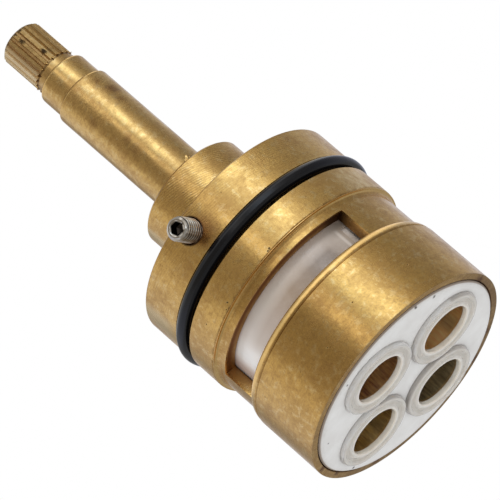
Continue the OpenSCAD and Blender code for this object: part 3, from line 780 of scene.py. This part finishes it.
for material, names in (
        (brass_cage, ["cage"]),
        (brass_bonnet, ["bonnet"]),
        (brass_spindle, ["spindle"]),
        (bright_steel, ["stop_screw"]),
        (seal_plate_plastic("white_plate"), ["seal_plate"]),
        (rotor_plastic("milky_rotor"), ["rotor"]),
        (washer_plastic("washer_plastic"), ["thrust_washer"]),
        (rubber("black_rubber"), ["bonnet_oring", "spindle_oring_lower",
                                  "spindle_oring_upper", "disc_gasket"]),
        (ceramic("white_ceramic"), ["fixed_disc", "moving_disc"]),
        (silicone("seal_silicone"), ["port_seal_1", "port_seal_2", "port_seal_3",
                                     "port_seal_4"])):
    for name in names:
        dressed = nodes[name].data.materials
        dressed.clear()
        dressed.append(material)


# Pieces made here

def new_piece(name, mesh_code, material, body, sharp, replaces=()):
    """Makes a mesh piece that rides on a body. The mesh code fills a bmesh in millimetres.
    Edges sharper than the given angle in degrees stay sharp."""
    bm = bmesh.new()
    mesh_code(bm)
    bmesh.ops.recalc_face_normals(bm, faces=bm.faces)
    bmesh.ops.scale(bm, vec=(MM, MM, MM), verts=bm.verts)
    bm.normal_update()
    for face in bm.faces:
        face.smooth = True
    for edge in bm.edges:
        if len(edge.link_faces) == 2 and edge.calc_face_angle(0.0) > math.radians(sharp):
            edge.smooth = False
    mesh = bpy.data.meshes.new(name)
    bm.to_mesh(mesh)
    bm.free()
    mesh.materials.append(material)
    item = bpy.data.objects.new(name, mesh)
    bpy.context.collection.objects.link(item)
    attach(item, body)
    if replaces:
        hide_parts(*replaces)


def skin(bm, rings, start, end):
    """Joins rings of points, each with the same count, and closes both ends on a point."""
    rows = [[bm.verts.new(p) for p in ring] for ring in rings]
    for low, high in zip(rows, rows[1:]):
        for i in range(len(low)):
            j = (i + 1) % len(low)
            bm.faces.new((low[i], low[j], high[j], high[i]))
    for row, tip in ((rows[0], start), (rows[-1], end)):
        middle = bm.verts.new(tip)
        for i in range(len(row)):
            bm.faces.new((row[i], row[(i + 1) % len(row)], middle))


def screw_mesh(bm):
    """The headless stop screw: an M4 x 0.7 thread, chamfered ends and a 2 mm hexagon socket."""
    count = 60
    root, pitch, steps_per_pitch = 1.60, 0.7, 10
    crest_half, flank = 0.10, 0.30
    outer_chamfer, inner_chamfer = 0.5, 0.3
    hexagon_r, hexagon_turn = 1.0, math.radians(12.0)
    socket = [(depth, hexagon_r) for depth in (MOUTH_DEPTH, 0.5, 1.0, 1.5, 2.0)]
    socket.append((2.05, 0.86))
    cone_depth = 2.45
    side = Vector((-SCREW_OUT.y, SCREW_OUT.x, 0.0))
    up = Vector((0.0, 0.0, 1.0))
    middle = Vector((0.0, 0.0, SCREW_Z))
    angles = [FULL_TURN * i / count for i in range(count)]

    def point(t, r, a):
        return middle + SCREW_OUT * t + (side * math.cos(a) + up * math.sin(a)) * r

    def thread(t, a):
        away = abs((t / pitch + a / FULL_TURN) % 1.0 - 0.5)
        share = min(1.0, max(0.0, (crest_half + flank - away) / flank))
        return root + (SCREW_R - root) * share

    def hexagon(r, a):
        part = (a + hexagon_turn) % (math.pi / 3.0) - math.pi / 6.0
        return r / math.cos(part)

    rings = []
    steps = int(round((SCREW_TO - SCREW_FROM) / (pitch / steps_per_pitch)))
    for k in range(steps + 1):
        t = SCREW_FROM + (SCREW_TO - SCREW_FROM) * k / steps
        limit = min(SCREW_R, SCREW_R - outer_chamfer + (SCREW_TO - t),
                    SCREW_R - inner_chamfer + (t - SCREW_FROM))
        rings.append([point(t, min(limit, thread(t, a)), a) for a in angles])
    rings.append([point(SCREW_TO, MOUTH_R, a) for a in angles])
    for depth, r in socket:
        rings.append([point(SCREW_TO - depth, hexagon(r, a), a) for a in angles])
    skin(bm, rings, start=point(SCREW_FROM, 0.0, 0.0), end=point(SCREW_TO - cone_depth, 0.0, 0.0))


# The lip's outline, as radius and height
LIP = ((19.40, 13.20), (19.905, LIP_FOOT), (19.890, 13.10), (19.866, 13.25), (19.838, 13.40),
       (19.803, 13.55), (19.752, 13.70), (19.685, 13.82), (19.620, 13.91), (19.570, 13.965),
       (19.500, SKIRT_TOP), (19.40, 13.90))


def skirt_lip_mesh(bm):
    """The rounded lip of the skirt, just proud of the three flats that stand for it."""
    around, across = 360, len(LIP)
    rings = []
    for k in range(around):
        a = FULL_TURN * k / around
        rings.append([bm.verts.new((r * math.cos(a), r * math.sin(a), z)) for r, z in LIP])
    for k in range(around):
        low, high = rings[k], rings[(k + 1) % around]
        for j in range(across):
            n = (j + 1) % across
            bm.faces.new((low[j], low[n], high[n], high[j]))


# A chip's section, as shares of its width and thickness
CHIP_SECTION = ((-0.5, -0.3), (0.0, -0.5), (0.5, -0.2), (0.4, 0.4), (0.0, 0.5), (-0.45, 0.35))
# Its bend as a share of the width and of a half turn, what it loses of its width and
# thickness on its way, and how much its width strays
CHIP_BEND = 0.6
CHIP_ARC = 0.8
CHIP_NARROWS = 0.75
CHIP_THINS = 0.5
CHIP_STRAYS = (0.7, 1.15)


def chip(bm, rng, centre, along, out, length, width, thick):
    """A curled sliver of metal: a bent, tapering strip with ragged sides."""
    along, out = along.normalized(), out.normalized()
    across = along.cross(out).normalized()
    rings = []
    steps = 6
    for k in range(steps + 1):
        s = k / steps
        bend = out * (math.sin(s * math.pi * CHIP_ARC) * width * CHIP_BEND)
        mid = centre + along * (length * (s - 0.5)) + bend
        w = width * (1.0 - CHIP_NARROWS * s) * rng.uniform(*CHIP_STRAYS)
        h = thick * (1.0 - CHIP_THINS * s)
        rings.append([mid + across * (w * x) + out * (h * y) for x, y in CHIP_SECTION])
    skin(bm, rings, start=rings[0][0].lerp(rings[0][3], 0.5),
         end=rings[-1][0].lerp(rings[-1][3], 0.5))


def outwards(angle):
    """The directions away from the axis and round it, at an angle in radians."""
    return (Vector((math.cos(angle), math.sin(angle), 0.0)),
            Vector((-math.sin(angle), math.cos(angle), 0.0)))


# Burrs on the boss: direction in degrees and size in millimetres
BOSS_BURRS = ((-53.4, 1.15), (-56.0, 0.5), (-50.5, 0.35), (-61.0, 0.3), (110.0, 0.4))


def boss_burr_mesh(bm):
    """Small burrs that the last cut left on the upper edge of the boss."""
    rng = random.Random(5)
    thick = 0.12
    for turn, size in BOSS_BURRS:
        out, sideways = outwards(math.radians(turn))
        along = sideways * 0.5 + Vector((0.0, 0.0, 1.0))
        centre = out * (BOSS_R - 0.28) + Vector((0.0, 0.0, BOSS_TOP - 0.05 + size * 0.25))
        chip(bm, rng, centre, along, out, size, size * 0.55, thick)


def spline_burr_mesh(bm):
    """Ragged metal at the lower ends of the spline's teeth."""
    rng = random.Random(11)
    teeth, thick = 20, 0.14
    for tooth in range(teeth):
        turn = 360.0 / teeth * tooth + rng.uniform(-3.0, 3.0)
        out, sideways = outwards(math.radians(turn))
        size = rng.uniform(0.25, 0.65)
        along = sideways * rng.uniform(-0.7, 0.7) + Vector((0.0, 0.0, -1.0))
        centre = out * (SPLINE_R - 0.14) + Vector((0.0, 0.0, RELIEF_TOP + 0.05 - size * 0.3))
        chip(bm, rng, centre, along, out, size, rng.uniform(0.3, 0.6), thick)


new_piece("screw_thread", screw_mesh, bright_steel, "housing", sharp=28.0,
          replaces=("stop_screw",))
new_piece("skirt_lip", skirt_lip_mesh, brass_cage, "housing", sharp=60.0)
new_piece("boss_burrs", boss_burr_mesh, brass_chips, "housing", sharp=40.0)
new_piece("spline_burrs", spline_burr_mesh, brass_chips, "spindle_group", sharp=40.0)


# Camera: its place and three directions, from the fit to the photograph's edges

CAMERA_PLACE = (0.1956, -0.65535, -0.27728)
CAMERA_RIGHT = (0.5396, 0.4880, -0.6860)
CAMERA_UP = (0.8003, -0.0442, 0.5981)
CAMERA_FORWARD = (-0.2616, 0.8717, 0.4143)
SENSOR_MM = 36.0
LENS_MM = 342.5

camera = bpy.data.objects.new("camera", bpy.data.cameras.new("camera"))
bpy.context.collection.objects.link(camera)
matrix = Matrix.Identity(4)
for row in range(3):
    matrix[row] = (CAMERA_RIGHT[row], CAMERA_UP[row], -CAMERA_FORWARD[row], CAMERA_PLACE[row])
camera.matrix_world = matrix
camera.data.sensor_width = SENSOR_MM
camera.data.lens = LENS_MM
camera.data.clip_start = 0.01
camera.data.clip_end = 20.0
bpy.context.scene.camera = camera


# Studio: white surroundings, soft boxes seen only in reflections, and a pale floor

WARM = (1.0, 0.90, 0.76)
PLAIN = (1.0, 0.985, 0.97)
HAZY = (0.98, 1.02, 1.20)
COOL = (0.95, 1.07, 1.20)
EVEN = (1.0, 1.0, 1.0)

# Brightness and tint of the surroundings by compass direction, as the turned faces show them
SOFT_BOXES = (
    (-180.0, 0.66, HAZY), (-166.0, 0.66, HAZY), (-154.0, 0.61, PLAIN), (-142.0, 0.53, PLAIN),
    (-134.0, 0.34, WARM), (-118.0, 0.28, WARM), (-100.0, 0.23, WARM), (-88.0, 0.23, WARM),
    (-80.0, 0.35, PLAIN), (-74.0, 0.98, PLAIN), (-67.0, 0.88, PLAIN), (-59.0, 0.44, PLAIN),
    (-50.0, 1.05, COOL), (-38.0, 1.62, COOL), (-31.0, 1.40, COOL), (-23.0, 0.72, PLAIN),
    (-11.0, 0.43, PLAIN), (1.0, 0.31, PLAIN), (14.0, 0.27, PLAIN), (30.0, 0.285, HAZY),
    (44.0, 0.36, HAZY), (58.0, 0.44, HAZY), (72.0, 0.52, HAZY), (86.0, 0.60, HAZY),
    (107.0, 0.72, HAZY), (128.0, 0.40, PLAIN), (140.0, 0.29, PLAIN), (150.0, 0.40, PLAIN),
    (162.0, 0.60, HAZY), (172.0, 0.65, HAZY))
# Brightness of the strip above them, which the lips and edges show
STRIP = (
    (-180.0, 0.75, EVEN), (-147.0, 0.80, EVEN), (-117.0, 0.62, EVEN), (-87.0, 0.98, EVEN),
    (-57.0, 1.36, EVEN), (-27.0, 1.30, EVEN), (5.0, 1.0, EVEN), (90.0, 0.95, EVEN),
    (160.0, 0.80, EVEN))
# Plain levels: straight below, on the card that the rim's face shows, straight above, and
# what the diffuse light comes from
DEEP = 0.34
CARD = 0.36
ABOVE = 0.42
AMBIENT = 0.85
# The card's direction in degrees, and how far from it the card fades into the boxes
CARD_TURN = 106.7
CARD_FADE = (math.radians(28.0), math.radians(55.0))
# Heights on the sphere of directions, as pairs between which one level blends into the next
DEEP_TO_LOW = (-0.66, -0.56)
LOW_TO_BOXES = (-0.25, 0.12)
BOXES_TO_STRIP = (0.52, 0.60)
STRIP_TO_ABOVE = (0.74, 0.84)


def studio():
    """Surroundings by direction for reflections, plain light for the rest, and white behind."""
    world = bpy.data.worlds.new("studio")
    bpy.context.scene.world = world
    g = Graph(world, "ShaderNodeOutputWorld")
    split = g.add("ShaderNodeSeparateXYZ")
    g.link(g.add("ShaderNodeTexCoord").outputs["Generated"], split.inputs[0])
    x, y, z = split.outputs
    turn = g.math("ARCTAN2", y, x)
    share = g.math("ADD", g.math("DIVIDE", turn, FULL_TURN), 0.5)

    def by_direction(levels):
        return g.ramp(share, [((azimuth + 180.0) / 360.0, tuple(level * c for c in tint))
                              for azimuth, level, tint in levels])

    def rise(value, pair):
        return g.remap(value, *pair, blend="SMOOTHSTEP")

    boxes = by_direction(SOFT_BOXES)
    from_card = g.math("ABSOLUTE", g.math("SUBTRACT", turn, math.radians(CARD_TURN)))
    low = g.mix(rise(from_card, CARD_FADE), CARD, boxes)
    shown = g.mix(rise(z, DEEP_TO_LOW), DEEP, low)
    shown = g.mix(rise(z, LOW_TO_BOXES), shown, boxes)
    shown = g.mix(rise(z, BOXES_TO_STRIP), shown, by_direction(STRIP))
    shown = g.mix(rise(z, STRIP_TO_ABOVE), shown, ABOVE)
    path = g.add("ShaderNodeLightPath")
    shown = g.mix(path.outputs["Is Glossy Ray"], AMBIENT, shown)
    shown = g.mix(path.outputs["Is Camera Ray"], shown, 1.0)
    back = g.add("ShaderNodeBackground")
    g.link(shown, back.inputs["Color"])
    back.inputs["Strength"].default_value = 1.0
    g.link(back.outputs[0], g.out.inputs["Surface"])


def key_lamp():
    """A square soft lamp on the side of +X, -Y and +Z, aimed at the housing."""
    place = Vector((0.45, -0.35, 0.45))
    target = Vector((0.0, 0.0, 0.03))
    data = bpy.data.lights.new("key", "AREA")
    data.size = 0.35
    data.energy = 3.0
    item = bpy.data.objects.new("key", data)
    bpy.context.collection.objects.link(item)
    item.location = place
    item.rotation_euler = (target - place).to_track_quat("-Z", "Y").to_euler()
    item.visible_glossy = False


def floor():
    """A pale floor under the seals. It is seen from above only, and blocks no light."""
    half = 1.5
    pale = 0.86
    gap = 0.02 * MM
    z = cad_box[0][2] - gap
    mesh = bpy.data.meshes.new("floor")
    mesh.from_pydata([(-half, -half, z), (half, -half, z), (half, half, z), (-half, half, z)],
                     [], [(0, 1, 2, 3)])
    item = bpy.data.objects.new("floor", mesh)
    bpy.context.collection.objects.link(item)
    g = material_graph("floor")
    shade = g.add("ShaderNodeBsdfDiffuse")
    shade.inputs["Color"].default_value = (pale, pale, pale, 1.0)
    choose = g.add("ShaderNodeMixShader")
    g.link(g.add("ShaderNodeNewGeometry").outputs["Backfacing"], choose.inputs[0])
    g.link(shade.outputs[0], choose.inputs[1])
    g.link(g.add("ShaderNodeBsdfTransparent").outputs[0], choose.inputs[2])
    g.link(choose.outputs[0], g.out.inputs["Surface"])
    mesh.materials.append(g.owner)
    item.visible_diffuse = False
    item.visible_glossy = False
    item.visible_transmission = False
    item.visible_shadow = False


studio()
key_lamp()
floor()

scene = bpy.context.scene
scene.view_settings.view_transform = "Standard"
scene.view_settings.look = "None"
